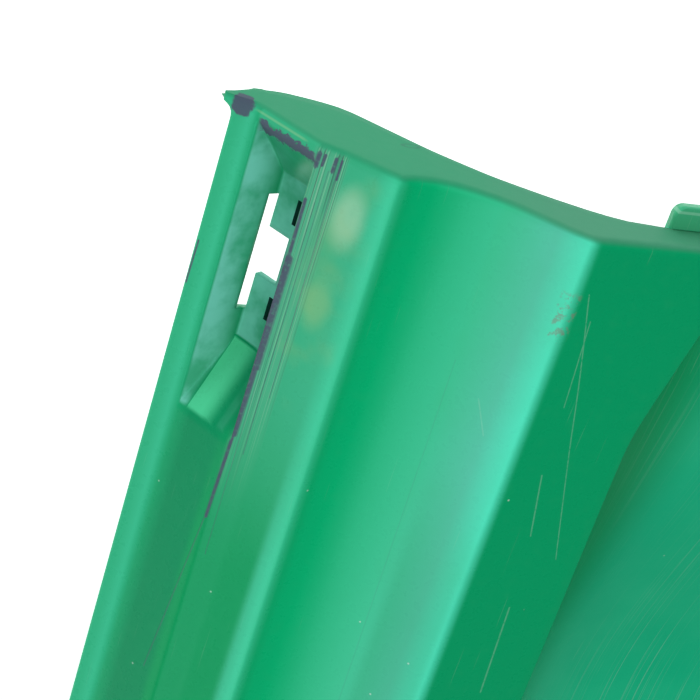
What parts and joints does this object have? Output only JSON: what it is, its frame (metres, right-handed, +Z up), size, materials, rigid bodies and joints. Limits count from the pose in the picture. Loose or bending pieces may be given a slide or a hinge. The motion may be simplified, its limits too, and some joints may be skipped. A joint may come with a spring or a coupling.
{
  "type": "straight playground slide",
  "caption": "Straight playground slide with a moulded bed between hollow moulded rails, a level entry with a deck tongue, a curved run-out and a welded tube frame below.",
  "frame": {"origin": "centre of the deck bolt pattern, on the bracket face that meets the deck", "axes": "+Z up, the slide runs down towards -Y, +X to the right seen from the run-out"},
  "size_m": [0.596, 1.9239, 0.9176],
  "materials": {
    "rail_moulding": "satin moulded polyethylene, scuffed",
    "bed_moulding": "satin moulded polyethylene",
    "galvanised_tube": "galvanised",
    "zinc_plate": "galvanised plate",
    "strap_steel": "zinc plated strap",
    "fastener_steel": "zinc plated",
    "foot_rubber": "matt",
    "plug_plastic": "matt",
    "saddle_plastic": "matt"
  },
  "bodies": {
    "root": {"bed": "bed_moulding", "deck_bracket": "zinc_plate", "entry_crossbar": "galvanised_tube", "entry_saddle": "saddle_plastic", "ground_anchor_plate": "zinc_plate", "left_clip_screws": "fastener_steel", "left_ground_foot": "foot_rubber", "left_rail": "rail_moulding", "left_rail_screws": "fastener_steel", "left_side_tube": "galvanised_tube", "left_tube_clips": "strap_steel", "left_tube_plugs": "plug_plastic", "lip_bolts": "fastener_steel", "lip_nuts": "fastener_steel", "lower_crossbar": "galvanised_tube", "lower_saddle": "saddle_plastic", "middle_crossbar": "galvanised_tube", "middle_saddle": "saddle_plastic", "right_clip_screws": "fastener_steel", "right_ground_foot": "foot_rubber", "right_rail": "rail_moulding", "right_rail_screws": "fastener_steel", "right_side_tube": "galvanised_tube", "right_tube_clips": "strap_steel", "right_tube_plugs": "plug_plastic", "runout_crossbar": "galvanised_tube", "runout_saddle": "saddle_plastic", "upper_crossbar": "galvanised_tube", "upper_saddle": "saddle_plastic"}
  },
  "joints": []
}
